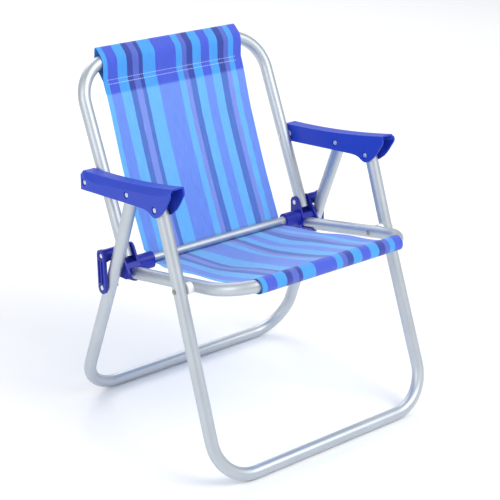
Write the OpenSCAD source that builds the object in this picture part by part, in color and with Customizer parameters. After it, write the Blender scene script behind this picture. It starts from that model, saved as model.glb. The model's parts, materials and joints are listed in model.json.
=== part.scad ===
// Folding beach chair, child size: four bent aluminium tubes, moulded
// armrests, brackets and links, and a one-piece fabric sling.
// X runs across the chair, -Y is the front and Z is up. The origin is on the
// ground, midway across and midway between the frontmost and rearmost points.

/* [Side view] */
// Height of the seat pivots above the ground
seat_pivot_z = 271.2; // [230:0.1:330]
// Distance from the seat pivots back to the back pivots
pivot_gap = 175; // [150:1:215]
// How much lower the back pivots are than the seat pivots
pivot_drop = 2.7; // [0:0.1:8]
// Angle of the front legs above the horizontal
front_leg_angle = 69.2; // [66:0.1:72]
// Length of the front legs above the seat pivots
front_leg_upper = 115.5; // [96:0.5:140]
// Angle of the back above the horizontal
back_angle = 65.35; // [62:0.05:69]
// Length of the back from its pivots to the middle of the top bar
back_length = 280.3; // [235:0.1:336]
// Distance from the back pivots to the armrest rivets
back_to_arm = 110; // [98:0.1:120]
// Angle of the rear legs above the horizontal, measured from the back
rear_leg_angle = 68.55; // [66:0.05:71]
// Distance from the front armrest rivet to the middle one
arm_pivot_gap = 68.8; // [64:0.1:76]
// Height of the middle armrest rivet above the front one
arm_pivot_rise = 2.1; // [0:0.1:4]
// Distance from the middle armrest rivet down the rear leg to the link
link_pivot_down = 175.3; // [172:0.1:180]
// Slope of the seat, down towards the back
seat_slope = 12.25; // [8:0.05:15]
// Length of the seat frame in front of the seat pivots
seat_front_length = 90.2; // [76:0.1:110]
// Length of the seat frame behind the seat pivots
seat_rear_length = 170.3; // [165:0.1:176]

/* [Widths] */
// Seat frame, between the middles of its side tubes
seat_frame_w = 332.6; // [278:0.1:400]
// How far each front foot stands out past the top of its leg
front_feet_out = 5.8; // [5:0.1:8]
// How far each rear foot stands out past the top of its leg
rear_feet_out = 8.8; // [5:0.1:11]
// Length of each leg that stays straight below the armrest
leg_straight = 100; // [80:1:110]
// Width of the fabric
sling_w = 254; // [220:1:300]

/* [Tubes] */
// Outside diameter of the frame tubes
tube_d = 19; // [16:0.5:20]
// Wall of the frame tubes
tube_wall = 1.2; // [1:0.1:1.6]
// Bend radius of the back and seat frames
frame_bend_r = 60; // [45:1:75]
// Bend radius of the legs
leg_bend_r = 62; // [45:1:80]
// Outside diameter of the crossbar
crossbar_d = 12.7; // [10:0.1:14]
// Crossbar axis, in front of the back pivots
crossbar_forward = 8.6; // [6:0.1:10]
// Crossbar axis, below the back pivots
crossbar_below = 21.4; // [20:0.1:23]

/* [Plastic parts] */
// Wall of the brackets' ears
ear_t = 3.4; // [3:0.1:4]
// Radius of the rounded ends of ears and links
ear_r = 9.5; // [8:0.1:10.5]
// Outside diameter of the crossbar sleeves on the brackets
sleeve_d = 21.5; // [19:0.1:23]
// How much deeper the crossbar sleeves are below the bar than above it
sleeve_drop = 4; // [2:0.1:5]
// Length of each crossbar sleeve
sleeve_l = 29; // [20:1:36]
// Wall of the cups that hold the ends of the seat frame
cup_wall = 2.6; // [2:0.1:3]
// Thickness of the links
link_t = 4.8; // [4:0.1:5.2]
// Depth of the hollow along the face of each link
link_hollow = 1.4; // [1:0.1:2]
// Wall of the armrests
arm_wall = 2.4; // [2.2:0.1:2.8]
// Length of the armrests in front of the front rivets
arm_front_over = 38.5; // [34:0.5:46]
// Length of the armrests behind the rear rivets
arm_rear_over = 9.2; // [8:0.1:12]
// Height of the armrest's top above the front rivets, at the rear end
arm_top = 4.6; // [4:0.1:8]
// Radius of the rounded lobe around the front armrest rivets
lobe_r = 10.8; // [9:0.1:12]

/* [Rivets and fits] */
// Diameter of the pivot rivets
rivet_d = 5; // [4:0.1:5.4]
// Diameter of the rivet heads
head_d = 7.6; // [7:0.1:8]
// Height of the rivet heads
head_h = 1.3; // [1:0.1:1.5]
// Diameter of the recess around each rivet head
recess_d = 10.4; // [10:0.1:11]
// Gap all round a rivet in its hole
rivet_gap = 0.05; // [0.02:0.01:0.1]
// Gap between plastic and metal parts that pass each other
side_gap = 0.4; // [0.3:0.05:0.5]
// Length of the white spacers between the seat frame and the front legs
spacer_l = 8.9; // [8:0.1:10]
// Diameter of the white spacers
spacer_d = 17; // [14:0.5:18]
// Thickness of the washers between the back frame and the armrests
washer_t = 1.6; // [1.2:0.1:2]

/* [Fabric] */
// Thickness of the fabric solids
sling_t = 2; // [1.6:0.1:2.2]
// Gap between the fabric and the bars it goes round
sling_gap = 0.4; // [0.3:0.1:0.6]
// How far the seat fabric hangs below a straight line
sling_sag = 7; // [4:1:12]

/* [Hidden] */
$fn = 64;
eps = 0.01;
aluminium = [0.80, 0.83, 0.86];
blue = [0.16, 0.28, 0.78];
dark_blue = [0.14, 0.18, 0.66];
steel = [0.70, 0.71, 0.72];
fabric_blue = [0.42, 0.62, 0.95];

tube_r = tube_d / 2;
rivet_r = rivet_d / 2;
bore_r = rivet_r + rivet_gap;
// The armrest's open pivot lets its rivet drift in this hole through the leg
drift_r = rivet_r + 2.1;
// Length of leg tube above its armrest rivet
leg_over = 11;
// Length of back tube below its pivot
back_over = 10.5;
// Radius that the end of the back tube sweeps round its pivot
back_sweep_r = sqrt(back_over * back_over + tube_r * tube_r) + side_gap;

// Points in the side view, [y, z], with y not yet measured from the origin
function along(p, a, l) = p + l * [cos(a), sin(a)];
function angle_of(p, q) = atan2(q[1] - p[1], q[0] - p[0]);
seat_pivot0 = [0, seat_pivot_z];
back_pivot0 = seat_pivot0 + [pivot_gap, -pivot_drop];
arm_front0 = along(seat_pivot0, front_leg_angle, front_leg_upper);
arm_rear0 = along(back_pivot0, back_angle, back_to_arm);
arm_middle0 = arm_front0 + [arm_pivot_gap, arm_pivot_rise];
top_bar0 = along(back_pivot0, back_angle, back_length);
front_leg_length = (arm_front0[1] - tube_r) / sin(front_leg_angle);
rear_leg_length = (arm_middle0[1] - tube_r) / sin(rear_leg_angle);
front_foot0 = along(arm_front0, front_leg_angle, -front_leg_length);
rear_foot0 = along(arm_middle0, -rear_leg_angle, rear_leg_length);

// The fabric's sleeve round the top bar is the rearmost point
sling_in_r = tube_r + sling_gap;
sling_out_r = sling_in_r + sling_t;
shift = [-(front_foot0[0] - tube_r + top_bar0[0] + sling_out_r) / 2, 0];
seat_pivot = seat_pivot0 + shift;
back_pivot = back_pivot0 + shift;
arm_front = arm_front0 + shift;
arm_middle = arm_middle0 + shift;
arm_rear = arm_rear0 + shift;
top_bar = top_bar0 + shift;
front_foot = front_foot0 + shift;
rear_foot = rear_foot0 + shift;
link_pivot = along(arm_middle, -rear_leg_angle, link_pivot_down);
seat_front = along(seat_pivot, 180 - seat_slope, seat_front_length);
seat_end = along(seat_pivot, -seat_slope, seat_rear_length);
crossbar_at = back_pivot - [crossbar_forward, crossbar_below];

// Places across the chair, out from the middle
seat_half = seat_frame_w / 2;
// Inner ear, back tube and outer ear stand side by side over the cup
inner_ear_x = seat_half - tube_r + 0.2;
back_half = inner_ear_x + ear_t + side_gap + tube_r;
outer_ear_x = back_half + tube_r + side_gap;
outer_ear_end = outer_ear_x + ear_t - 0.2;
arm_in_x = back_half + tube_r + washer_t;
leg_half = seat_half + tube_d + spacer_l;
arm_out_x = leg_half + tube_r + side_gap + arm_wall + 0.1;
front_foot_half = leg_half + front_feet_out;
rear_foot_half = leg_half + rear_feet_out;
rear_flare = atan(rear_feet_out / (rear_leg_length - leg_straight));
front_flare = atan(front_feet_out / (front_leg_length - leg_straight));
// Outer face of the rear leg where the link is riveted, and of the front leg
link_leg_x = leg_half + (link_pivot_down - leg_straight) * tan(rear_flare) + tube_r;
link_x = link_leg_x + 1.5;
link_end = link_x + link_t;

module aluminium() { color(aluminium) children(); }
module blue() { color(blue) children(); }
module dark_blue() { color(dark_blue) children(); }
module steel() { color(steel) children(); }

// A cylinder along X, from x0 to x1, at a point of the side view
module x_rod(p, x0, x1, r) {
    translate([x0, p[0], p[1]]) rotate([0, 90, 0]) cylinder(r = r, h = x1 - x0);
}

// Mirrors a right-hand part to the left where the side is -1
module on_side(side) {
    mirror([side < 0 ? 1 : 0, 0, 0]) children();
}

// Extrudes a side-view outline from x0 to x1
module slab(x0, x1) {
    translate([x0, 0, 0]) rotate([90, 0, 90]) linear_extrude(x1 - x0) children();
}

// Solid U: the bar lies along X at the origin and the sides go up Y. The
// sides lean from foot_half out at the bar to end_half out at the kink, st
// below the pivot at len, and stand straight above it. A collar a hair wider
// than the tube joins the tubes at each kink, where they stop just short.
module solid_u(foot_half, end_half, len, st, over, bend, r) {
    flared = foot_half > end_half;
    lean = flared ? (foot_half - end_half) / (len - st) : 0;
    knee = [snap(foot_half - bend_to_knee(bend) * lean), bend_to_knee(bend)];
    kink = [end_half, flared ? len - st : len + over];
    translate([bend - knee[0], 0, 0]) rotate([0, 90, 0]) cylinder(r = r, h = 2 * (knee[0] - bend));
    for (m = [0, 1]) mirror([m, 0, 0]) {
        translate([knee[0] - bend, bend, 0]) rotate([0, 0, -90])
            rotate_extrude(angle = 90, $fn = 96) translate([bend, 0]) circle(r = r);
        translate([knee[0], bend, 0]) rotate([-90, 0, 0])
            cylinder(r = r, h = (flared ? knee[1] - kink_gap : kink[1]) - bend);
        if (flared) {
            translate([knee[0], knee[1], 0]) {
                kink_collar(lean, r);
                rotate([-90, 0, atan(lean)]) translate([0, 0, kink_gap])
                    cylinder(r = r, h = norm(kink - knee) - 2 * kink_gap);
            }
            translate([kink[0], kink[1], 0]) {
                kink_collar(lean, r);
                rotate([-90, 0, 0]) translate([0, 0, kink_gap])
                    cylinder(r = r, h = st + over - kink_gap);
            }
        }
    }
}

module kink_collar(lean, r) {
    rotate([-90, 0, atan(lean) / 2]) translate([0, 0, -kink_half])
        cylinder(r = r + kink_rise, h = 2 * kink_half);
}

// Rounds to a hundredth, so that a bend and its straight tubes meet exactly
function snap(v) = round(v * 100) / 100;
kink_rise = 0.08;
kink_half = 0.9;
kink_gap = 0.3;
function bend_to_knee(bend) = bend + 3;

module tube_u(foot_half, end_half, len, st, over, bend) {
    difference() {
        solid_u(foot_half, end_half, len, st, over, bend, tube_r);
        solid_u(foot_half, end_half, len, st, over + 1, bend, tube_r - tube_wall);
    }
}

module place(p, a) {
    translate([0, p[0], p[1]]) rotate([a, 0, 0]) children();
}

// ---- frames ----

module back_frame() {
    aluminium() difference() {
        place(top_bar, back_angle + 180)
            tube_u(back_half, back_half, back_length, 0, back_over, frame_bend_r);
        for (p = [back_pivot, arm_rear])
            x_rod(p, -back_half - tube_d, back_half + tube_d, bore_r);
    }
}

module seat_frame() {
    aluminium() difference() {
        place(seat_front, -seat_slope)
            tube_u(seat_half, seat_half, seat_front_length + seat_rear_length, 0, 0, frame_bend_r);
        x_rod(seat_pivot, -seat_half - tube_d, seat_half + tube_d, bore_r);
        for (side = [-1, 1]) on_side(side) bracket_rivet_hole();
    }
}

module front_leg_frame() {
    aluminium() difference() {
        place(front_foot, front_leg_angle)
            tube_u(front_foot_half, leg_half, front_leg_length, leg_straight, leg_over, leg_bend_r);
        x_rod(arm_front, -leg_half - tube_d, leg_half + tube_d, drift_r);
        x_rod(seat_pivot, -leg_half - tube_d, leg_half + tube_d, bore_r);
    }
}

module rear_leg_frame() {
    aluminium() difference() {
        place(rear_foot, 180 - rear_leg_angle)
            tube_u(rear_foot_half, leg_half, rear_leg_length, leg_straight, leg_over, leg_bend_r);
        x_rod(arm_middle, -leg_half - tube_d, leg_half + tube_d, bore_r);
        x_rod(link_pivot, -leg_half - 2 * tube_d, leg_half + 2 * tube_d, bore_r);
    }
}

// The crossbar ends inside the inner ears
crossbar_half = inner_ear_x + ear_t - 2.6;

module crossbar() {
    aluminium() difference() {
        x_rod(crossbar_at, -crossbar_half, crossbar_half, crossbar_d / 2);
        x_rod(crossbar_at, -crossbar_half - 1, crossbar_half + 1, crossbar_d / 2 - 1);
    }
}

// ---- hinge brackets ----

cup_r = tube_r + cup_wall;
// How far the cup and the lip in front of it reach along the seat tube
cup_mouth = 14.5;
lip_reach = 36;
// Underside of the bracket at its rear
bracket_z = seat_end[1] - cup_r + 0.8;
block_top = back_pivot[1] - back_sweep_r;
block_front = back_pivot[0] - 23;
// How much higher the outer ear's foot stands than the cup
outer_foot_rise = 5.5;

// Ear in the side view: a round top at the back pivot on a wide foot
module ear_outline(front, front_top, foot, slope) {
    rear = back_pivot[0] + ear_r;
    translate(back_pivot) circle(r = ear_r);
    polygon([
        [back_pivot[0] - ear_r * cos(20), back_pivot[1] + ear_r * sin(20)],
        [front, front_top],
        [front, foot + slope * (rear - front)],
        [rear - 2, foot],
        [rear, back_pivot[1]],
    ]);
}

module in_seat_line() {
    place(seat_end, -seat_slope) children();
}

// Sleeve for the crossbar, deeper below the bar than above it
module sleeve_outline() {
    translate(crossbar_at) {
        circle(r = sleeve_d / 2);
        translate([0, -sleeve_drop]) circle(r = sleeve_d / 2);
        translate([-sleeve_d / 2, -sleeve_drop]) square([sleeve_d, sleeve_drop]);
    }
}

module hinge_bracket(side) {
    sleeve_x = max(inner_ear_x - sleeve_l, sling_half + 1);
    outer_foot = bracket_z + outer_foot_rise;
    dark_blue() on_side(side) difference() {
        union() {
            slab(inner_ear_x, inner_ear_x + ear_t)
                ear_outline(block_front, bracket_z + 22, bracket_z, 0.1);
            slab(outer_ear_x, outer_ear_end)
                ear_outline(back_pivot[0] - 31, outer_foot + 14, outer_foot, 0.2);
            // Block that joins the ears below the end of the back tube
            slab(inner_ear_x, outer_ear_end)
                polygon([
                    [block_front, bracket_z + 8],
                    [block_front, block_top - 6],
                    [block_front + 5, block_top],
                    [back_pivot[0] + ear_r - 0.5, block_top],
                    [back_pivot[0] + ear_r - 2, outer_foot],
                ]);
            // Cup round the end of the seat tube
            in_seat_line() translate([seat_half, -cup_mouth, 0])
                rotate([-90, 0, 0]) cylinder(r = cup_r, h = cup_mouth + cup_wall);
            // Lip that reaches forward along the inner side of the tube
            in_seat_line() intersection() {
                translate([seat_half, -lip_reach, 0])
                    rotate([-90, 0, 0]) cylinder(r = cup_r, h = lip_reach);
                translate([seat_half - cup_r - 1, -lip_reach - 1, 1 - cup_r])
                    cube([cup_r, lip_reach, cup_r - 6]);
            }
            slab(sleeve_x, inner_ear_x + eps) sleeve_outline();
        }
        in_seat_line() translate([seat_half, -lip_reach - 2, 0])
            rotate([-90, 0, 0]) cylinder(r = tube_r + rivet_gap, h = lip_reach + 2.2);
        x_rod(crossbar_at, sleeve_x - 1, crossbar_half + 0.2, crossbar_d / 2 + rivet_gap);
        x_rod(back_pivot, inner_ear_x - 1, outer_ear_end + 1, bore_r);
        bracket_rivet_hole();
    }
}

// Rivet up through the cup and the seat tube
bracket_rivet_d = 4;
bracket_rivet_back = 8;

module bracket_rivet_line() {
    in_seat_line() translate([seat_half, -bracket_rivet_back, -cup_r - 2]) children();
}

module bracket_rivet_hole() {
    bracket_rivet_line() cylinder(r = bracket_rivet_d / 2 + rivet_gap, h = 2 + cup_r + tube_r + 0.5);
    bracket_rivet_line() cylinder(r = head_d / 2 + 0.2, h = 2 + 1.4);
}

module bracket_rivet(side) {
    steel() on_side(side) bracket_rivet_line() {
        translate([0, 0, 2.1]) cylinder(r = head_d / 2, h = head_h);
        translate([0, 0, 2.1]) cylinder(r = bracket_rivet_d / 2, h = cup_r + tube_r);
    }
}

// ---- links ----

link_span = norm(back_pivot - link_pivot);
link_angle = angle_of(back_pivot, link_pivot);
boss_r = 7;
web_t = 4;
// The rear leg passes below this as the chair folds
web_drop = 12;

module link_outline(r) {
    for (p = [back_pivot, link_pivot]) translate(p) circle(r = r);
    translate(back_pivot) rotate(link_angle) translate([0, -r]) square([link_span, 2 * r]);
}

module link(side) {
    hollow_x = link_end - link_hollow;
    dark_blue() on_side(side) difference() {
        union() {
            slab(link_x, link_end) link_outline(ear_r);
            x_rod(back_pivot, outer_ear_end + side_gap, link_x + eps, boss_r);
            // Web behind the rear leg, which is the stop of the open chair
            translate([0, back_pivot[0] + 1, 0]) rotate([90, 0, 0]) linear_extrude(web_t)
                polygon([
                    [outer_ear_end + side_gap, back_pivot[1] + ear_r - 0.5],
                    [link_x + eps, back_pivot[1] + ear_r - 0.5],
                    [link_x + eps, back_pivot[1] - web_drop],
                    [outer_ear_end + side_gap, back_pivot[1] - 6],
                ]);
        }
        // Two hollows leave a rib along the middle and a border all round
        for (m = [-1, 1]) slab(hollow_x, link_end + 1)
            translate(back_pivot) rotate(link_angle)
                translate([7, m > 0 ? 1 : -6.5]) square([link_span - 14, 5.5]);
        for (p = [back_pivot, link_pivot]) {
            x_rod(p, link_end - head_h - 0.3, link_end + 1, recess_d / 2);
            x_rod(p, outer_ear_end, link_end + 1, bore_r);
        }
    }
}

// ---- armrests ----

// Armrest outline, from the front rivet: u runs back along Y, v runs up
arm_rear_u = arm_rear[0] - arm_front[0] + arm_rear_over;
arm_rear_v = arm_rear[1] - arm_front[1];
arm_under = 13;
function arm_top_v(u) =
    let (d = arm_rear_u - u) arm_top + 0.084 * d + 0.00032 * d * d;
arm_steps = 12;

// Points along the top, at a depth below it, from u0 to u1
function arm_top_line(u0, u1, depth) = [
    for (i = [0 : arm_steps])
        let (u = u0 + i * (u1 - u0) / arm_steps) [u, arm_top_v(u) - depth]
];

// The walls end in a slanted edge that leans forward to the tip
module arm_outline() {
    translate(arm_front) {
        polygon(concat(
            [
                [arm_rear_u, arm_rear_v - arm_under],
                [24, -5],
                [lobe_r, -5],
                [-lobe_r, -4],
                [-18.5, -0.5],
                [3.5 - arm_front_over * 0.8, 10],
                [3.5 - arm_front_over * 0.95, 18.5],
                [0.8 - arm_front_over, 27.5],
                [-arm_front_over, 34],
            ],
            arm_top_line(2 - arm_front_over, arm_rear_u, 0)
        ));
        circle(r = lobe_r);
    }
}

// Everything under the top wall and in front of the rear wall
module arm_channel() {
    translate(arm_front) polygon(concat(
        [
            [arm_rear_u - arm_wall, arm_rear_v - 2 * arm_under],
            [-arm_front_over - arm_under, arm_rear_v - 2 * arm_under],
        ],
        arm_top_line(-arm_front_over - arm_under, arm_rear_u - arm_wall, arm_wall)
    ));
}

module armrest(side) {
    blue() on_side(side) difference() {
        union() {
            difference() {
                slab(arm_in_x, arm_out_x) arm_outline();
                slab(arm_in_x + arm_wall - 0.2, arm_out_x - arm_wall) arm_channel();
            }
            // Boss that carries the rear rivet across the channel
            x_rod(arm_rear, arm_in_x + 1, arm_out_x - 1, recess_d / 2);
        }
        for (p = [arm_front, arm_middle, arm_rear]) {
            x_rod(p, arm_in_x - 1, arm_out_x + 1, bore_r);
            x_rod(p, arm_out_x - head_h - 0.1, arm_out_x + 1, recess_d / 2);
        }
        for (p = [arm_front, arm_middle])
            x_rod(p, arm_in_x - 1, arm_in_x + head_h - 0.1, recess_d / 2);
    }
}

// ---- rivets, pins, spacers and washers ----

// Rivet along X with a head at each end
module rivet(p, x0, x1) {
    x_rod(p, x0 - head_h / 2, x1 + head_h / 2, rivet_r);
    x_rod(p, x0 - head_h, x0, head_d / 2);
    x_rod(p, x1, x1 + head_h, head_d / 2);
}

module back_pivot_pin(side) {
    steel() on_side(side) rivet(back_pivot, inner_ear_x, link_end - head_h - 0.3);
}

seat_leg_x = leg_half + (front_leg_upper - leg_straight) * tan(front_flare) + tube_r;

module seat_pivot_rivet(side) {
    steel() on_side(side) rivet(seat_pivot, seat_half - tube_r, seat_leg_x + 0.1);
}

module seat_spacer(side) {
    color("white") on_side(side) difference() {
        x_rod(seat_pivot, seat_half + tube_r, seat_leg_x - tube_d - 0.3, spacer_d / 2);
        x_rod(seat_pivot, seat_half, seat_leg_x, bore_r);
    }
}

module arm_leg_rivet(p, side) {
    steel() on_side(side) rivet(p, arm_in_x + head_h - 0.1, arm_out_x - head_h - 0.1);
}

module arm_rear_rivet(side) {
    steel() on_side(side) rivet(arm_rear, back_half - tube_r, arm_out_x - head_h - 0.1);
}

module arm_washer(side) {
    steel() on_side(side) difference() {
        x_rod(arm_rear, back_half + tube_r, arm_in_x, recess_d / 2);
        x_rod(arm_rear, back_half, arm_out_x, bore_r);
    }
}

// The link's lower rivet is in two halves, one in the link, one in the leg
module link_rivet(side) {
    steel() on_side(side) {
        x_rod(link_pivot, link_x, link_end - head_h, rivet_r);
        x_rod(link_pivot, link_end - head_h - 0.3, link_end - 0.3, head_d / 2);
    }
}

module rear_leg_rivet(side) {
    steel() on_side(side) {
        x_rod(link_pivot, link_leg_x - tube_d - 0.5, link_leg_x + 0.3, rivet_r);
        x_rod(link_pivot, link_leg_x - tube_d - head_h - 0.3, link_leg_x - tube_d - 0.3, head_d / 2);
    }
}

// ---- fabric ----

sling_half = sling_w / 2;
top_sleeve_half = back_half - frame_bend_r - 2;
front_sleeve_half = seat_half - frame_bend_r - 2;
// The fabric goes round the crossbar between the sleeves on the brackets
wrap_r = crossbar_d / 2 + sling_gap;
sling_join = back_pivot + [wrap_r - crossbar_forward, -8];
sling_back_angle = angle_of(sling_join + [sling_t / 2, 0], top_bar);
sling_back_length = norm(top_bar - sling_join) - 3;
sling_shoulder = 17;

module ring(p, half, r0, r1) {
    difference() {
        x_rod(p, -half, half, r1);
        x_rod(p, -half - 1, half + 1, r0);
    }
}

// In-plane outline of the back fabric: u across, v down from the top bar
module sling_back() {
    neck_half = top_sleeve_half - 2;
    color(fabric_blue) {
        ring(top_bar, top_sleeve_half, sling_in_r, sling_out_r);
        place(top_bar, sling_back_angle + 180)
            translate([0, 0, -sling_t / 2]) linear_extrude(sling_t) polygon([
                [-neck_half, sling_out_r - 0.5],
                [neck_half, sling_out_r - 0.5],
                [neck_half, sling_shoulder - 2],
                [sling_half, sling_shoulder],
                [sling_half, sling_back_length],
                [-sling_half, sling_back_length],
                [-sling_half, sling_shoulder],
                [-neck_half, sling_shoulder - 2],
            ]);
    }
}

seat_steps = 14;
seat_from = along(seat_front, -seat_slope, sling_out_r - 0.5);
seat_to = crossbar_at - [0, wrap_r + sling_t / 2];
function seat_curve(k) =
    seat_from + k * (seat_to - seat_from) - [0, 4 * sling_sag * k * (1 - k)];
wide_from = 0.06;

module seat_band(k0, k1, half) {
    points = [for (i = [0 : seat_steps]) seat_curve(k0 + (k1 - k0) * i / seat_steps)];
    slab(-half, half) polygon(concat(
        [for (p = points) p + [0, sling_t / 2]],
        [for (i = [seat_steps : -1 : 0]) points[i] - [0, sling_t / 2]]
    ));
}

module sling_seat() {
    wrap_steps = 10;
    wrap_end = [crossbar_at[0] + wrap_r, sling_join[1] - 4];
    color(fabric_blue) {
        ring(seat_front, front_sleeve_half, sling_in_r, sling_out_r);
        seat_band(0, wide_from, front_sleeve_half - 2);
        seat_band(wide_from, 1, sling_half);
        slab(-sling_half, sling_half) polygon(concat(
            [for (i = [0 : wrap_steps])
                along(crossbar_at, -90 + 90 * i / wrap_steps, wrap_r)],
            [wrap_end, wrap_end + [sling_t, 0]],
            [for (i = [wrap_steps : -1 : 0])
                along(crossbar_at, -90 + 90 * i / wrap_steps, wrap_r + sling_t)]
        ));
    }
}

back_frame();
seat_frame();
front_leg_frame();
rear_leg_frame();
crossbar();
hinge_bracket(-1);  // hinge_bracket_left
hinge_bracket(1);  // hinge_bracket_right
link(-1);  // link_left
link(1);  // link_right
armrest(-1);  // armrest_left
armrest(1);  // armrest_right
back_pivot_pin(-1);  // back_pivot_pin_left
back_pivot_pin(1);  // back_pivot_pin_right
seat_pivot_rivet(-1);  // seat_pivot_rivet_left
seat_pivot_rivet(1);  // seat_pivot_rivet_right
seat_spacer(-1);  // seat_spacer_left
seat_spacer(1);  // seat_spacer_right
arm_leg_rivet(arm_front, -1);  // arm_front_rivet_left
arm_leg_rivet(arm_front, 1);  // arm_front_rivet_right
arm_leg_rivet(arm_middle, -1);  // arm_middle_rivet_left
arm_leg_rivet(arm_middle, 1);  // arm_middle_rivet_right
arm_rear_rivet(-1);  // arm_rear_rivet_left
arm_rear_rivet(1);  // arm_rear_rivet_right
arm_washer(-1);  // arm_washer_left
arm_washer(1);  // arm_washer_right
link_rivet(-1);  // link_rivet_left
link_rivet(1);  // link_rivet_right
rear_leg_rivet(-1);  // rear_leg_rivet_left
rear_leg_rivet(1);  // rear_leg_rivet_right
bracket_rivet(-1);  // bracket_rivet_left
bracket_rivet(1);  // bracket_rivet_right
sling_back();
sling_seat();
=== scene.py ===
import json
import math

import bmesh
import bpy
from mathutils import Matrix, Vector

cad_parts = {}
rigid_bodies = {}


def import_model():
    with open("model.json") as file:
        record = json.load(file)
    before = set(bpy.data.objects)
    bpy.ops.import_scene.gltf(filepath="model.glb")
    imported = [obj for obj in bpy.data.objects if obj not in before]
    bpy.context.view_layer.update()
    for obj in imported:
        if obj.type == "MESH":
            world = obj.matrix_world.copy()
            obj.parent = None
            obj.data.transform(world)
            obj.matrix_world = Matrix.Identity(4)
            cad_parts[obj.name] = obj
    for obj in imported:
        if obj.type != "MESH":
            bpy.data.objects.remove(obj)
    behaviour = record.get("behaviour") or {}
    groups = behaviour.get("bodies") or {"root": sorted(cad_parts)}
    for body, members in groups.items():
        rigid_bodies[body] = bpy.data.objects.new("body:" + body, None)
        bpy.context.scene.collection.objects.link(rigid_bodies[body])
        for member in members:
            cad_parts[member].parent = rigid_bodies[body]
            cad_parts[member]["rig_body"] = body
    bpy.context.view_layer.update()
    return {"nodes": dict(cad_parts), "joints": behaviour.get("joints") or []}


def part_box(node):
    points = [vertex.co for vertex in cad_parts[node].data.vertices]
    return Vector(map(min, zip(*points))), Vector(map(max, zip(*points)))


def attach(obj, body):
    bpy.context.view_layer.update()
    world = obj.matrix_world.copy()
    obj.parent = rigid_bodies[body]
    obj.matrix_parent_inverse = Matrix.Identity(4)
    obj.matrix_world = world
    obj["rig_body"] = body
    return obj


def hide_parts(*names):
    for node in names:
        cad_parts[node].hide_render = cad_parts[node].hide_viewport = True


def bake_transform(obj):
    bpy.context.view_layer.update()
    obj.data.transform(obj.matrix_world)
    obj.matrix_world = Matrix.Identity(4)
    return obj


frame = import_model()
scene = bpy.context.scene
MM = 0.001
TUBE_R = 9.5

# ---------------------------------------------------------------- places
# Millimetres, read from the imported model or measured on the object


def box_mm(node):
    low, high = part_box(node)
    return [c / MM for c in low], [c / MM for c in high]


def middle(node):
    low, high = box_mm(node)
    return [(a + b) / 2 for a, b in zip(low, high)]


pivot = {j["name"]: [c / MM for c in j["pos_m"][1:]] for j in frame["joints"]}
back_pivot = pivot["back_fold"]
arm_rear = pivot["armrests_fold"]
arm_middle = pivot["rear_legs_fold"]
arm_front = middle("arm_front_rivet_right")[1:]
crossbar_at = middle("crossbar")[1:]
back_high = box_mm("back_frame")[1]
seat_low, seat_high = box_mm("seat_frame")
top_bar = [back_high[1] - TUBE_R, back_high[2] - TUBE_R]
front_bar = [seat_low[1] + TUBE_R, seat_high[2] - TUBE_R]
BACK_HALF = back_high[0] - TUBE_R
SEAT_HALF = seat_high[0] - TUBE_R
BEND_R = 60.0
crossbar_low, crossbar_high = box_mm("crossbar")
CROSSBAR_R = (crossbar_high[2] - crossbar_low[2]) / 2
CLOTH_W = 264.0
CLOTH_HALF = CLOTH_W / 2

# ---------------------------------------------------------------- camera
camera = bpy.data.objects.new("camera", bpy.data.cameras.new("camera"))
scene.collection.objects.link(camera)
scene.camera = camera
camera.data.lens = 98.57
camera.data.sensor_width = 36
camera.data.clip_end = 50
eye, target = Vector((-1.1810, -1.5039, 1.0456)), Vector((-0.0004, -0.0070, 0.2529))
camera.location = eye
camera.rotation_euler = (
    (target - eye).to_track_quat("-Z", "Y").to_matrix()
    @ Matrix.Rotation(math.radians(0.33), 3, "Z")
).to_euler()
scene.view_settings.view_transform = "Standard"

# ---------------------------------------------------------------- materials


def new_material(name):
    material = bpy.data.materials.new(name)
    material.use_nodes = True
    tree = material.node_tree
    return material, tree, tree.nodes["Principled BSDF"]


def node(tree, kind, **values):
    made = tree.nodes.new(kind)
    for key, value in values.items():
        if hasattr(made, key):
            setattr(made, key, value)
        else:
            made.inputs[key.replace("_", " ")].default_value = value
    return made


def math_node(tree, operation, a, b=None, clamp=False):
    made = tree.nodes.new("ShaderNodeMath")
    made.operation = operation
    made.use_clamp = clamp
    for socket, value in zip(made.inputs, (a, b)):
        if value is None:
            continue
        if isinstance(value, (int, float)):
            socket.default_value = value
        else:
            tree.links.new(value, socket)
    return made.outputs[0]


def remap(tree, value, low, high, from_low=0.0, from_high=1.0):
    made = node(tree, "ShaderNodeMapRange", To_Min=low, To_Max=high)
    made.inputs["From Min"].default_value = from_low
    made.inputs["From Max"].default_value = from_high
    tree.links.new(value, made.inputs["Value"])
    return made.outputs["Result"]


def noise(tree, scale, stretch=(1, 1, 1), turn=0.0, detail=3.0):
    """Noise in object space, stretched along one axis and turned about X."""
    where = tree.nodes.new("ShaderNodeTexCoord").outputs["Object"]
    turned = tree.nodes.new("ShaderNodeVectorRotate")
    turned.rotation_type = "X_AXIS"
    turned.inputs["Angle"].default_value = turn
    tree.links.new(where, turned.inputs["Vector"])
    scaled = tree.nodes.new("ShaderNodeVectorMath")
    scaled.operation = "MULTIPLY"
    scaled.inputs[1].default_value = stretch
    tree.links.new(turned.outputs[0], scaled.inputs[0])
    made = node(tree, "ShaderNodeTexNoise", Scale=scale, Detail=detail)
    tree.links.new(scaled.outputs[0], made.inputs["Vector"])
    return made.outputs["Fac"]


def bump(tree, shader, height, distance, strength=1.0, under=None):
    made = node(tree, "ShaderNodeBump", Strength=strength, Distance=distance)
    tree.links.new(height, made.inputs["Height"])
    if under:
        tree.links.new(under, made.inputs["Normal"])
    tree.links.new(made.outputs["Normal"], shader.inputs["Normal"])
    return made.outputs["Normal"]


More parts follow.
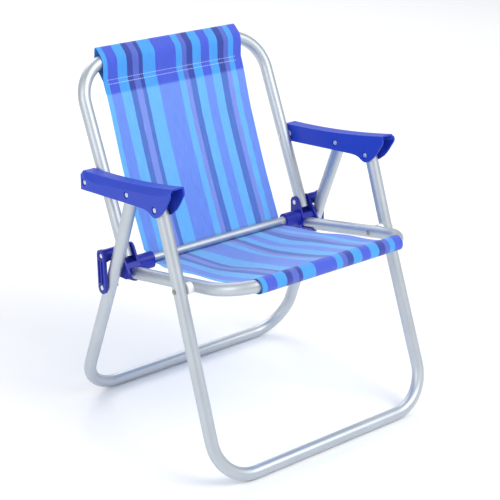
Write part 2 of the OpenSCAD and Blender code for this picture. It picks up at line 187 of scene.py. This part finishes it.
def tint(tree, shader, factor, dark, light):
    """Base colour that drifts between two shades."""
    mix = tree.nodes.new("ShaderNodeMix")
    mix.data_type = "RGBA"
    mix.inputs[6].default_value = (*dark, 1)
    mix.inputs[7].default_value = (*light, 1)
    tree.links.new(factor, mix.inputs[0])
    tree.links.new(mix.outputs[2], shader.inputs["Base Color"])
    return mix.outputs[2]


def metal(name, dark, light, rough, turn=0.0, along=0.03):
    """Drawn tube: fine lines along it, faint cloudy oxide, small scuffs."""
    material, tree, shader = new_material(name)
    shader.inputs["Metallic"].default_value = 1.0
    lines = noise(tree, 700, (1, 1, along), turn, 2)
    clouds = noise(tree, 26, detail=4)
    scuffs = remap(tree, noise(tree, 120, (1, 1, 0.25), turn, 5), 0, 1, 0.60, 0.72)
    tint(tree, shader, clouds, dark, light)
    base = math_node(tree, "MULTIPLY", lines, 0.10)
    base = math_node(tree, "ADD", base, math_node(tree, "MULTIPLY", clouds, 0.10))
    base = math_node(tree, "ADD", base, math_node(tree, "MULTIPLY", scuffs, 0.08))
    tree.links.new(remap(tree, base, rough - 0.06, rough + 0.12, 0, 0.28), shader.inputs["Roughness"])
    bump(tree, shader, lines, 0.00004, 0.5)
    return material


def plastic(name, dark, light, rough, grain=0.00006):
    """Moulded plastic: fine spark-eroded grain, slow flow marks in gloss."""
    material, tree, shader = new_material(name)
    shader.inputs["IOR"].default_value = 1.45
    shader.inputs["Specular IOR Level"].default_value = 0.4
    fine = noise(tree, 2200, detail=2)
    flow = noise(tree, 18, (1, 0.4, 1), detail=3)
    tint(tree, shader, flow, dark, light)
    tree.links.new(remap(tree, flow, rough - 0.06, rough + 0.08, 0.3, 0.7), shader.inputs["Roughness"])
    bump(tree, shader, fine, grain, 0.5)
    return material


TUBE_TILT = {
    "back_frame": math.atan2(top_bar[0] - back_pivot[0], top_bar[1] - back_pivot[1]),
    "seat_frame": math.radians(102.25),
    "front_leg_frame": math.radians(20.8),
    "rear_leg_frame": math.radians(-21.45),
}
ALU_DARK, ALU_LIGHT = (0.50, 0.54, 0.585), (0.59, 0.63, 0.67)
tube_material = {
    name: metal("satin_aluminium_" + name, ALU_DARK, ALU_LIGHT, 0.47, tilt)
    for name, tilt in TUBE_TILT.items()
}
crossbar_material = metal("satin_aluminium_crossbar", ALU_DARK, ALU_LIGHT, 0.56)
steel = metal("plated_steel", (0.62, 0.63, 0.64), (0.80, 0.80, 0.79), 0.30, along=1)
dull_steel = metal("dull_steel", (0.26, 0.26, 0.22), (0.40, 0.40, 0.34), 0.42, along=1)
arm_plastic = plastic("armrest_plastic", (0.010, 0.040, 0.46), (0.016, 0.056, 0.55), 0.42)
bracket_plastic = plastic("bracket_plastic", (0.008, 0.016, 0.30), (0.012, 0.024, 0.38), 0.38)
spacer_plastic = plastic("white_nylon", (0.80, 0.81, 0.83), (0.88, 0.88, 0.90), 0.45)

# Stripes of the fabric: where each ends, as a share of the width
LIGHT, VIOLET, MIDDLE, NAVY = 0, 1, 2, 3
STRIPES = (
    (0.029, LIGHT), (0.097, VIOLET), (0.161, LIGHT), (0.200, NAVY), (0.243, MIDDLE),
    (0.273, NAVY), (0.361, LIGHT), (0.508, VIOLET), (0.553, LIGHT), (0.589, MIDDLE),
    (0.630, NAVY), (0.694, LIGHT), (0.755, VIOLET), (0.820, LIGHT), (0.867, NAVY),
    (0.900, MIDDLE), (0.938, LIGHT), (1.0, VIOLET),
)
# Each yarn's colour in the hems, where two layers lie and the cloth wraps its bar, deepened as painted
# shade, and on single cloth, lightened as painted light coming through one layer
HEM_YARN_PAINTED_SHADE = ((0.065, 0.355, 0.880), (0.062, 0.110, 0.680), (0.096, 0.150, 0.600), (0.036, 0.064, 0.370))
YARN_PAINTED_LIGHT_THROUGH = ((0.150, 0.480, 0.960), (0.155, 0.290, 0.860), (0.210, 0.300, 0.800), (0.085, 0.185, 0.600))


def stripe_ramp(tree, across, colours):
    ramp = tree.nodes.new("ShaderNodeValToRGB")
    ramp.color_ramp.interpolation = "CONSTANT"
    stops = ramp.color_ramp.elements
    start = 0.0
    for i, (end, yarn) in enumerate(STRIPES):
        stop = stops[i] if i < 2 else stops.new(start)
        stop.position = start
        stop.color = (*colours[yarn], 1)
        start = end
    tree.links.new(across, ramp.inputs["Fac"])
    return ramp.outputs["Color"]


def fabric(name, thread_mm=0.55):
    """Plain-woven polyester. U runs across and V along, both in metres of cloth, and a vertex attribute
    marks the hems: 1 there, where two layers lie and the cloth wraps its bar and the yarns get deeper
    colours as painted shade, and 0 on single cloth, which gets lighter colours as painted light coming
    through"""
    material, tree, shader = new_material(name)
    shader.inputs["Sheen Weight"].default_value = 0.25
    shader.inputs["Sheen Roughness"].default_value = 0.5
    shader.inputs["Specular IOR Level"].default_value = 0.25
    uv = tree.nodes.new("ShaderNodeUVMap")
    uv.uv_map = "cloth"
    split = tree.nodes.new("ShaderNodeSeparateXYZ")
    tree.links.new(uv.outputs["UV"], split.inputs[0])
    u, v = split.outputs[0], split.outputs[1]
    wander = node(tree, "ShaderNodeTexNoise", Scale=60.0, Detail=2.0)
    tree.links.new(uv.outputs["UV"], wander.inputs["Vector"])
    across = math_node(tree, "DIVIDE", u, CLOTH_W * MM)
    across = math_node(tree, "ADD", across, remap(tree, wander.outputs["Fac"], -0.003, 0.003))
    # Painted light: the hem mask picks the deeper colours as painted shade, and elsewhere the lighter
    # ones as painted light coming through one layer
    hem_painted_shade = node(tree, "ShaderNodeAttribute", attribute_name="hem_painted_shade").outputs["Fac"]
    mix = tree.nodes.new("ShaderNodeMix")
    mix.data_type = "RGBA"
    tree.links.new(hem_painted_shade, mix.inputs[0])
    tree.links.new(stripe_ramp(tree, across, YARN_PAINTED_LIGHT_THROUGH), mix.inputs[6])
    tree.links.new(stripe_ramp(tree, across, HEM_YARN_PAINTED_SHADE), mix.inputs[7])
    # Slubs: each warp yarn is a little lighter or darker along its length
    slubs = node(tree, "ShaderNodeTexNoise", Scale=1.0, Detail=2.0)
    stretched = tree.nodes.new("ShaderNodeVectorMath")
    stretched.operation = "MULTIPLY"
    stretched.inputs[1].default_value = (900, 45, 1)
    tree.links.new(uv.outputs["UV"], stretched.inputs[0])
    tree.links.new(stretched.outputs[0], slubs.inputs["Vector"])
    # Weave: two crossed sets of ridges, out of step on each second thread
    turns = 2 * math.pi / (thread_mm * MM)
    warp = math_node(tree, "SINE", math_node(tree, "MULTIPLY", u, turns))
    weft = math_node(tree, "SINE", math_node(tree, "MULTIPLY", v, turns))
    weave = math_node(tree, "MULTIPLY", warp, weft)
    shade = remap(tree, slubs.outputs["Fac"], 0.86, 1.12, 0.25, 0.75)
    shade = math_node(tree, "ADD", shade, math_node(tree, "MULTIPLY", weave, 0.035))
    value = tree.nodes.new("ShaderNodeVectorMath")
    value.operation = "SCALE"
    tree.links.new(mix.outputs[2], value.inputs[0])
    tree.links.new(shade, value.inputs["Scale"])
    tree.links.new(value.outputs[0], shader.inputs["Base Color"])
    tree.links.new(remap(tree, slubs.outputs["Fac"], 0.60, 0.80), shader.inputs["Roughness"])
    ripple = node(tree, "ShaderNodeTexNoise", Scale=70.0, Detail=3.0)
    tree.links.new(uv.outputs["UV"], ripple.inputs["Vector"])
    soft = bump(tree, shader, ripple.outputs["Fac"], 0.0012, 0.5)
    bump(tree, shader, weave, 0.00012, 0.6, under=soft)
    return material


sling_fabric = fabric("striped_fabric")


def thread(name, dark, light):
    material, tree, shader = new_material(name)
    shader.inputs["Sheen Weight"].default_value = 0.3
    twist = noise(tree, 1500, detail=2)
    tint(tree, shader, twist, dark, light)
    tree.links.new(remap(tree, twist, 0.55, 0.75), shader.inputs["Roughness"])
    bump(tree, shader, twist, 0.0001, 0.6)
    return material


white_thread = thread("white_thread", (0.62, 0.70, 0.86), (0.86, 0.90, 0.97))
blue_thread = thread("blue_thread", (0.06, 0.12, 0.55), (0.12, 0.22, 0.72))

# ---------------------------------------------------------------- mesh tools


def set_material(obj, material):
    obj.data.materials.clear()
    obj.data.materials.append(material)


def shade_smooth(obj, sharp):
    for face in obj.data.polygons:
        face.use_smooth = True
    obj.data.set_sharp_from_angle(angle=math.radians(sharp))


def finish_piece(obj, material, body, sharp):
    set_material(obj, material)
    shade_smooth(obj, sharp)
    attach(obj, body)
    return obj


def piece_from_bmesh(name, mesh_data):
    bmesh.ops.recalc_face_normals(mesh_data, faces=mesh_data.faces)
    mesh = bpy.data.meshes.new(name)
    mesh_data.to_mesh(mesh)
    mesh_data.free()
    obj = bpy.data.objects.new(name, mesh)
    scene.collection.objects.link(obj)
    return obj


def apply_modifiers(obj):
    graph = bpy.context.evaluated_depsgraph_get()
    made = bpy.data.meshes.new_from_object(obj.evaluated_get(graph))
    obj.modifiers.clear()
    obj.data = made


def add_bevel(obj, width_mm, segments=2, angle=40.0):
    bevel = obj.modifiers.new("edge", "BEVEL")
    bevel.width = width_mm * MM
    bevel.segments = segments
    bevel.limit_method = "ANGLE"
    bevel.angle_limit = math.radians(angle)
    bevel.harden_normals = False


def smooth_through(points, steps):
    """Catmull-Rom curve through the points, with so many steps in each span."""
    points = [Vector(p) for p in points]
    padded = [2 * points[0] - points[1]] + points + [2 * points[-1] - points[-2]]
    line = []
    for i in range(1, len(padded) - 2):
        a, b, c, d = padded[i - 1:i + 3]
        for k in range(steps):
            t = k / steps
            line.append(0.5 * (2 * b + (c - a) * t + (2 * a - 5 * b + 4 * c - d) * t * t
                               + (3 * b - a - 3 * c + d) * t ** 3))
    return line + [points[-1]]


def lathe(name, at, profile, side, around=40):
    """Turns a profile of (distance out along X, radius) about a line along X."""
    made = bmesh.new()
    rings = []
    for out, radius in profile:
        ring = []
        for k in range(around):
            turn = 2 * math.pi * k / around
            y, z = at[0] + radius * math.cos(turn), at[1] + radius * math.sin(turn)
            ring.append(made.verts.new((side * out * MM, y * MM, z * MM)))
        rings.append(ring)
    for first, second in zip(rings, rings[1:]):
        for k in range(around):
            n = (k + 1) % around
            made.faces.new((first[k], first[n], second[n], second[k]))
    made.faces.new(rings[0])
    made.faces.new(rings[-1])
    return piece_from_bmesh(name, made)


def capsule_row(name, stitches, radius_mm):
    """Small rounded stitches, each from one point to another."""
    made = bmesh.new()
    for start, end in stitches:
        start, end = Vector(start), Vector(end)
        axis = (end - start).normalized()
        side = axis.orthogonal().normalized()
        up = axis.cross(side)
        rings = []
        for along, swell in ((0, 0.35), (0.15, 0.85), (0.5, 1.0), (0.85, 0.85), (1, 0.35)):
            centre = start.lerp(end, along)
            ring = []
            for k in range(6):
                turn = math.pi * k / 3
                out = (side * math.cos(turn) + up * math.sin(turn)) * radius_mm * swell
                ring.append(made.verts.new((centre + out) * MM))
            rings.append(ring)
        for first, second in zip(rings, rings[1:]):
            for k in range(6):
                n = (k + 1) % 6
                made.faces.new((first[k], first[n], second[n], second[k]))
        made.faces.new(rings[0])
        made.faces.new(rings[-1])
    return piece_from_bmesh(name, made)


# ---------------------------------------------------------------- tubes
for name in TUBE_TILT:
    set_material(frame["nodes"][name], tube_material[name])
set_material(frame["nodes"]["crossbar"], crossbar_material)

# ---------------------------------------------------------------- brackets, links
SIDES = (("left", -1), ("right", 1))
for side, _ in SIDES:
    for name in ("hinge_bracket_", "link_"):
        part = frame["nodes"][name + side]
        set_material(part, bracket_plastic)
        add_bevel(part, 0.4)
    for name in ("seat_spacer_", "arm_washer_"):
        part = frame["nodes"][name + side]
        set_material(part, spacer_plastic)
        add_bevel(part, 0.5)

# ---------------------------------------------------------------- armrests
arm_low, arm_high = box_mm("armrest_right")
ARM_IN, ARM_OUT = arm_low[0], arm_high[0]
ARM_REAR_U = arm_high[1] - arm_front[0]
ARM_WALL = 2.4
RECESS_R = 5.2
RECESS_DEPTH = 1.5


def arm_top_v(u):
    d = ARM_REAR_U - u
    return 4.6 + 0.084 * d + 0.00032 * d * d


# Bottom and front edge of the walls, from the rear: u back from the front
# rivet, v up from it, and how far along the top the same station stands
ARM_EDGE = (
    (ARM_REAR_U, -23.6, ARM_REAR_U), (160, -20.2, 160), (120, -15.6, 120), (80, -11.0, 80),
    (50, -7.6, 50), (30, -5.4, 30), (20, -5.2, 20), (13, -6.4, 12), (7, -9.2, 5),
    (0, -10.8, -3), (-7, -8.9, -9), (-13, -4.4, -15), (-18.5, 0, -19), (-24, 6.5, -23),
    (-29, 13.5, -27), (-33, 20, -30), (-36.3, 25, -33), (-38, 28.5, -35), (-38.2, 31.5, -36),
)
# How far the crease on the outer wall lies below the top, along the armrest
CREASE = (
    (ARM_REAR_U, 0.8), (186, 3.6), (172, 9.0), (158, 11.6), (140, 11.4), (110, 9.4),
    (78, 9.0), (43, 9.0), (0, 9.5), (-20, 9.0), (-32, 7.5), (-38.5, 5),
)


def crease_drop(u):
    for (u0, d0), (u1, d1) in zip(CREASE, CREASE[1:]):
        if u1 <= u <= u0:
            t = (u0 - u) / (u0 - u1)
            t = t * t * (3 - 2 * t)
            return d0 + (d1 - d0) * t
    return CREASE[-1][1]


def arm_section(edge_u, edge_v, top_u, inset, side):
    """Points across the channel, from the foot of the outer wall to the foot
    of the inner one. inset is 0 for the outer skin and the wall's thickness
    for the inner one."""
    top_v = arm_top_v(top_u) - inset
    x_in, x_out = ARM_IN + inset, ARM_OUT - inset
    height = max(top_v - edge_v, 0.4)
    drop = min(crease_drop(top_u), 0.6 * height)
    corner = min(1.6, 0.3 * height) * (0.4 if inset else 1.0)
    points = []

    def add(x, below):
        share = 1 - below / height
        points.append((side * x, arm_front[0] + edge_u + (top_u - edge_u) * share,
                       arm_front[1] + edge_v + height * share))

    for share in (0, 0.2, 0.4, 0.6, 0.8, 0.95, 1):
        add(x_out, height + (drop - height) * share)
    # Slanted shoulder from the crease up to the flat top, rounded where they meet
    flat = x_in + 0.80 * (x_out - x_in)
    for t in (0.06, 0.3, 0.55, 0.75, 0.88, 0.96):
        add(x_out + (flat - x_out) * t, drop * (1 - t) * (1 + 0.25 * t))
    add(flat, 0)
    add((flat + x_in) / 2, 0)
    for k in range(5):
        turn = math.pi / 2 * k / 4
        add(x_in + corner * (1 - math.sin(turn)), corner * (1 - math.cos(turn)))
    for k in range(1, 6):
        add(x_in, corner + (height - corner) * k / 5)
    return points


def armrest(name, side):
    edge = smooth_through(ARM_EDGE, 4)
    made = bmesh.new()
    skins = []
    for inset in (0.0, ARM_WALL):
        skin = []
        for edge_u, edge_v, top_u in edge:
            if inset:
                edge_u, top_u = min(edge_u, ARM_REAR_U - inset), min(top_u, ARM_REAR_U - inset)
            section = arm_section(edge_u, edge_v, top_u, inset, side)
            skin.append([made.verts.new(Vector(p) * MM) for p in section])
        skins.append(skin)
    outer, inner = skins
    for skin in skins:
        for first, second in zip(skin, skin[1:]):
            for a, b, c, d in zip(first, first[1:], second[1:], second):
                made.faces.new((a, b, c, d))
        made.faces.new(skin[0])
    for end in (0, -1):
        for k in range(len(outer) - 1):
            made.faces.new((outer[k][end], outer[k + 1][end], inner[k + 1][end], inner[k][end]))
    for k in range(len(outer[-1]) - 1):
        made.faces.new((outer[-1][k], outer[-1][k + 1], inner[-1][k + 1], inner[-1][k]))
    made.faces.new((outer[0][0], outer[0][-1], inner[0][-1], inner[0][0]))
    bmesh.ops.triangulate(made, faces=[f for f in made.faces if len(f.verts) > 4])
    obj = piece_from_bmesh(name, made)
    # Round recesses for the rivet heads
    cutters = []
    for at, faces in ((arm_front, 2), (arm_middle, 2), (arm_rear, 1)):
        spans = ((ARM_OUT - RECESS_DEPTH, ARM_OUT + 2), (ARM_IN - 2, ARM_IN + RECESS_DEPTH))[:faces]
        for low, high in spans:
            cutter = lathe("cutter", at, ((low, RECESS_R), (high, RECESS_R)), side, 48)
            cutters.append(cutter)
            cut = obj.modifiers.new("recess", "BOOLEAN")
            cut.operation = "DIFFERENCE"
            cut.solver = "EXACT"
            cut.object = cutter
    add_bevel(obj, 0.45, 2, 50)
    apply_modifiers(obj)
    for cutter in cutters:
        bpy.data.objects.remove(cutter)
    return obj


for side, sign in SIDES:
    arm = armrest("armrest_shell_" + side, sign)
    finish_piece(arm, arm_plastic, "armrests", 42)
    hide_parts("armrest_" + side)

# ---------------------------------------------------------------- rivets


def dome(out, radius, height, sign):
    """Profile of a domed rivet head with a small punched dimple, from its rim."""
    points = [(out, radius), (out + sign * 0.25, radius)]
    for k in range(1, 7):
        turn = math.pi / 2 * k / 7
        points.append((out + sign * (0.25 + (height - 0.25) * math.sin(turn)), radius * math.cos(turn)))
    points.append((out + sign * height, 0.9))
    points.append((out + sign * (height - 0.35), 0.5))
    return points


def rivet(name, node_name, side, material, shank_r=2.4, head_r=3.8, height=1.3):
    """A riveted pin over the whole length of its CAD solid."""
    low, high = box_mm(node_name)
    centre = [(low[1] + high[1]) / 2, (low[2] + high[2]) / 2]
    inner, outer = sorted((abs(low[0]), abs(high[0])))
    left = dome(inner + height, head_r, height, -1)[::-1]
    right = dome(outer - height, head_r, height, 1)
    shank = [(inner + height, shank_r), (outer - height, shank_r)]
    obj = lathe(name, centre, left + shank + right, side)
    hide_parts(node_name)
    return finish_piece(obj, material, frame["nodes"][node_name]["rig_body"], 60)


# Rivets that keep their CAD shape
PLAIN_RIVETS = (("link_rivet_", steel), ("rear_leg_rivet_", dull_steel), ("bracket_rivet_", steel))
for side, sign in SIDES:
    for name in ("arm_front_rivet_", "arm_middle_rivet_", "arm_rear_rivet_", "back_pivot_pin_"):
        rivet(name + "turned_" + side, name + side, sign, steel)
    rivet("seat_pivot_rivet_turned_" + side, "seat_pivot_rivet_" + side, sign, dull_steel)
    for name, material in PLAIN_RIVETS:
        set_material(frame["nodes"][name + side], material)

# ---------------------------------------------------------------- fabric
CLOTH_T = 0.7
# Rows of cloth round the top bar: 16 spans of 4 steps, and the end
TOP_ROWS = 16 * 4 + 1
ROW_MM = 4.0


def flat2(p):
    return Vector((p[0], p[1]))


wrap_r = CROSSBAR_R + 1.0
panel_foot = flat2(crossbar_at) + Vector((wrap_r + 0.4, 4.0))
panel_down = (panel_foot - flat2(top_bar)).normalized()
panel_front = Vector((panel_down[1], -panel_down[0]))
if panel_front[0] > 0:
    panel_front = -panel_front
PANEL_LENGTH = (panel_foot - flat2(top_bar)).length
STITCH_ROWS = (30.9, 37.3)
FLAP_END = 50.5
SEAT_STITCH_ROWS = (17.0, 22.0)
SEAT_FLAP_END = 31.0
# Where a hem's flap lies, behind the back's cloth and under the seat's
FLAP_GAP = -1.1
# How far the left edge is pushed in by the bracket's sleeve, and how wide a band moves
SLEEVE_CRUSH = 6.2
EDGE_BAND = 26.0
PANEL_STEPS = int((PANEL_LENGTH - FLAP_END) / ROW_MM)
seat_rear = flat2(crossbar_at) - Vector((0, wrap_r))
seat_back = (seat_rear - flat2(front_bar)).normalized()
seat_up = Vector((-seat_back[1], seat_back[0]))
SEAT_LENGTH = (seat_rear - flat2(front_bar)).length


def on_panel(down, front):
    return flat2(top_bar) + panel_down * down + panel_front * front


def on_seat(back, up):
    return flat2(front_bar) + seat_back * back + seat_up * up


def bend_drop(x, half):
    """How far the tube has bent away at x, from the line of its bar."""
    past = max(abs(x) - (half - BEND_R), 0)
    return BEND_R - math.sqrt(max(BEND_R ** 2 - past ** 2, 0))


def smooth_step(low, high, value):
    t = min(max((value - low) / (high - low), 0), 1)
    return t * t * (3 - 2 * t)


def sling_column(x_flat):
    """Points (x, y, z, hem mask) down the cloth at this distance from its middle; the mask is 1 in the
    hems, painted deeper as shade, and 0 where single cloth is painted lighter as light coming through
    """
    edge = x_flat / CLOTH_HALF
    e = bend_drop(0.96 * x_flat, BACK_HALF)
    f = bend_drop(x_flat, SEAT_HALF)
    top = smooth_through([
        (FLAP_END, FLAP_GAP), (STITCH_ROWS[1], FLAP_GAP), (STITCH_ROWS[0], FLAP_GAP - 0.2),
        (18 + e / 2, -5.8), (5 + e, -10.4), (-3, -10.3), (-11, -6.6), (-17.6, -2.9),
        (-19.8, 0.2), (-17.4, 3.2), (-11, 6.6), (-3, 10.3), (5 + e, 10.4), (18 + e / 2, 5.4),
        (STITCH_ROWS[0], 0.3), (STITCH_ROWS[1], 0), (FLAP_END, 0),
    ], 4)
    # The last value of each row is the hem mask for painted light: 1 in the hem, painted deeper as
    # shade, and 0 on single cloth, painted lighter as light coming through
    rows = [(*on_panel(a, b), 1.0) for a, b in top]
    # Down the back: it sags a little and has slow ripples from top to bottom
    for k in range(1, PANEL_STEPS + 1):
        t = k / PANEL_STEPS
        sag = -2.6 * math.sin(math.pi * t) ** 1.2
        ripple = 0.55 * math.sin(edge * 7.1 + 2.4 * t) + 0.4 * math.sin(edge * 15.3 - 1.7 * t + 1)
        curl = 1.1 * abs(edge) ** 6 * math.sin(5.0 * t + (0.8 if edge > 0 else 2.2))
        down = FLAP_END + (PANEL_LENGTH - FLAP_END) * t
        point = on_panel(down, sag + (ripple + curl) * math.sin(math.pi * t))
        rows.append((*point, 1.0 - smooth_step(0, 0.006, t)))
    # Round the back of the crossbar and under it
    first = math.atan2(panel_foot[1] - crossbar_at[1], panel_foot[0] - crossbar_at[0])
    under = -math.pi / 2 - math.atan2(-seat_back[1], seat_back[0])
    for k in range(1, 9):
        turn = first + (under - first) * k / 8
        point = flat2(crossbar_at) + (wrap_r + 0.3) * Vector((math.cos(turn), math.sin(turn)))
        rows.append((*point, 0.0))
    # Forward along the seat, with soft waves that die out at both ends
    steps = int((SEAT_LENGTH - SEAT_FLAP_END) / ROW_MM)
    for k in range(1, steps + 1):
        t = k / steps
        back = SEAT_LENGTH + (SEAT_FLAP_END - SEAT_LENGTH) * t
        ends = math.sin(math.pi * t) ** 0.7
        sag = -(1.6 + 4.2 * (1 - edge * edge)) * math.sin(math.pi * t)
        waves = (1.5 * math.sin(edge * 6.4 + 4.6 * t + 0.5) + 1.0 * math.sin(edge * 11.7 - 5.2 * t)
                 + 0.9 * math.sin(9.4 * t + 2.2 * edge + 1.1))
        curl = 2.2 * abs(edge) ** 8 * math.sin(10.5 * t + (0.3 if edge > 0 else 1.9))
        point = on_seat(back, sag + (waves + curl) * ends)
        rows.append((*point, smooth_step(1 - 0.03, 1, t)))
    front = smooth_through([
        (SEAT_FLAP_END, 0), (SEAT_STITCH_ROWS[1], 0.1), (SEAT_STITCH_ROWS[0], 0.6),
        (11 + f * 0.7, 5.8), (4.5 + f * 0.4, 9.8), (-1, 10.8), (-7.2, 8.2), (-10.7, 2.4), (-10.7, -3.4),
        (-7.2, -8.4), (-1, -10.7), (5 + f * 0.6, -10.0), (11 + f * 0.8, -6.4),
        (SEAT_STITCH_ROWS[0] + 1, -1.6), (SEAT_STITCH_ROWS[1], FLAP_GAP), (SEAT_FLAP_END, FLAP_GAP),
    ], 4)
    rows += [(*on_seat(a, b), 1.0) for a, b in front[1:]]
    return rows


def cloth_width(share):
    """Where the left and right edges lie, as the cloth is drawn in between its bars."""
    back = smooth_step(0.18, 0.30, share) - smooth_step(0.62, 0.95, share)
    left = -130.5 - 3.2 * smooth_step(0.18, 0.45, share) + 6.0 * smooth_step(0.76, 0.93, share)
    right = 127.5 - 4.5 * back + 5.0 * smooth_step(0.60, 0.92, share)
    return left, right


def sling():
    across = 132
    columns = [sling_column(-CLOTH_HALF + CLOTH_W * i / across) for i in range(across + 1)]
    count = len(columns[0])
    middle_column = columns[across // 2]
    along = [0.0]
    for a, b in zip(middle_column, middle_column[1:]):
        along.append(along[-1] + math.dist(a[:2], b[:2]))
    foot = along[TOP_ROWS + PANEL_STEPS - 1]
    made = bmesh.new()
    uv = made.loops.layers.uv.new("cloth")
    # Hem mask for painted light, per vertex: deeper colours as painted shade in the hems, lighter as
    # painted light through single cloth
    hem_painted_shade = made.verts.layers.float.new("hem_painted_shade")
    grid = []
    for i, column in enumerate(columns):
        line = []
        for j, (y, z, hem_shade_mask) in enumerate(column):
            left, right = cloth_width(along[j] / along[-1])
            x = left + (right - left) * i / across
            # The left edge is crushed in behind the bracket's sleeve
            past = along[j] - foot
            crush = smooth_step(-7, 0, past) - smooth_step(28, 60, past)
            x += SLEEVE_CRUSH * crush * max(1 - (x - left) / EDGE_BAND, 0) ** 2
            vert = made.verts.new((x * MM, y * MM, z * MM))
            vert[hem_painted_shade] = hem_shade_mask
            line.append(vert)
        grid.append(line)
    for i in range(across):
        for j in range(count - 1):
            face = made.faces.new((grid[i][j], grid[i + 1][j], grid[i + 1][j + 1], grid[i][j + 1]))
            for loop, (a, b) in zip(face.loops, ((i, j), (i + 1, j), (i + 1, j + 1), (i, j + 1))):
                loop[uv].uv = (CLOTH_W * MM * a / across, along[b] * MM)
    mesh = bpy.data.meshes.new("sling")
    made.to_mesh(mesh)
    made.free()
    obj = bpy.data.objects.new("sling_fabric", mesh)
    scene.collection.objects.link(obj)
    thick = obj.modifiers.new("thickness", "SOLIDIFY")
    thick.thickness = CLOTH_T * MM
    thick.offset = 0
    apply_modifiers(obj)
    set_material(obj, sling_fabric)
    shade_smooth(obj, 60)
    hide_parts("sling_back", "sling_seat")
    return obj, along[-1]


def stitch_row(place, level, normal, pitch=3.7, length=2.7, edge=122.0):
    """Stitches across the cloth at one level of a side-view frame."""
    stitches = []
    count = int(2 * edge / pitch)
    for i in range(count):
        x = -edge + pitch * i - 1.5
        y, z = place(level, normal)
        stitches.append(((x, y, z), (x + length, y, z)))
    return stitches


cloth, cloth_length = sling()
rows = []
for level in STITCH_ROWS:
    rows += stitch_row(on_panel, level, 0.5)
    rows += stitch_row(on_panel, level, -1.6)
hem = capsule_row("back_hem_stitches", rows, 0.42)
finish_piece(hem, white_thread, "back", 60)
rows = []
for level in SEAT_STITCH_ROWS:
    rows += stitch_row(on_seat, level, -1.7)
seat_hem = capsule_row("seat_hem_stitches", rows, 0.42)
finish_piece(seat_hem, blue_thread, "seat", 60)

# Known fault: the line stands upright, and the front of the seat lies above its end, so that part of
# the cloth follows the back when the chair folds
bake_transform(cloth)

# ---------------------------------------------------------------- floor and light


def floor():
    made = bmesh.new()
    around, level = 64, -0.0003
    rings = []
    for radius in (0.0001, 0.5, 1.5, 4, 12, 30):
        ring = []
        for k in range(around):
            turn = 2 * math.pi * k / around
            ring.append(made.verts.new((radius * math.cos(turn), radius * math.sin(turn), level)))
        rings.append(ring)
    for first, second in zip(rings, rings[1:]):
        for k in range(around):
            n = (k + 1) % around
            made.faces.new((first[k], second[k], second[n], first[n]))
    made.faces.new(rings[0])
    obj = piece_from_bmesh("floor", made)
    for face in obj.data.polygons:
        face.use_smooth = True
    material, tree, shader = new_material("pale_floor")
    tint(tree, shader, noise(tree, 1.5), (0.93, 0.93, 0.935), (0.96, 0.96, 0.962))
    shader.inputs["Roughness"].default_value = 0.9
    shader.inputs["Specular IOR Level"].default_value = 0.1
    obj.data.materials.append(material)


floor()
world = bpy.data.worlds.new("studio")
scene.world = world
world.use_nodes = True
sky = world.node_tree.nodes["Background"]
sky.inputs["Color"].default_value = (0.96, 0.98, 1.0, 1)
# The backdrop is seen white, and lights the chair a little less than that
seen = world.node_tree.nodes.new("ShaderNodeLightPath").outputs["Is Camera Ray"]
world.node_tree.links.new(remap(world.node_tree, seen, 0.72, 1.0), sky.inputs["Strength"])


def softbox(name, at, aim, size, power, colour=(1, 1, 1)):
    light = bpy.data.lights.new(name, "AREA")
    light.shape = "RECTANGLE"
    light.size, light.size_y = size
    light.energy = power
    light.color = colour
    obj = bpy.data.objects.new(name, light)
    scene.collection.objects.link(obj)
    obj.location = at
    obj.rotation_euler = (Vector(aim) - Vector(at)).to_track_quat("-Z", "Y").to_euler()


softbox("key", (0.9, -2.0, 2.4), (0, 0, 0.25), (1.6, 1.6), 46)
softbox("side", (-2.6, -0.6, 1.6), (0, 0, 0.3), (1.4, 1.8), 20)
softbox("rear", (0.6, 2.6, 2.2), (0, 0, 0.3), (2.4, 1.4), 34)
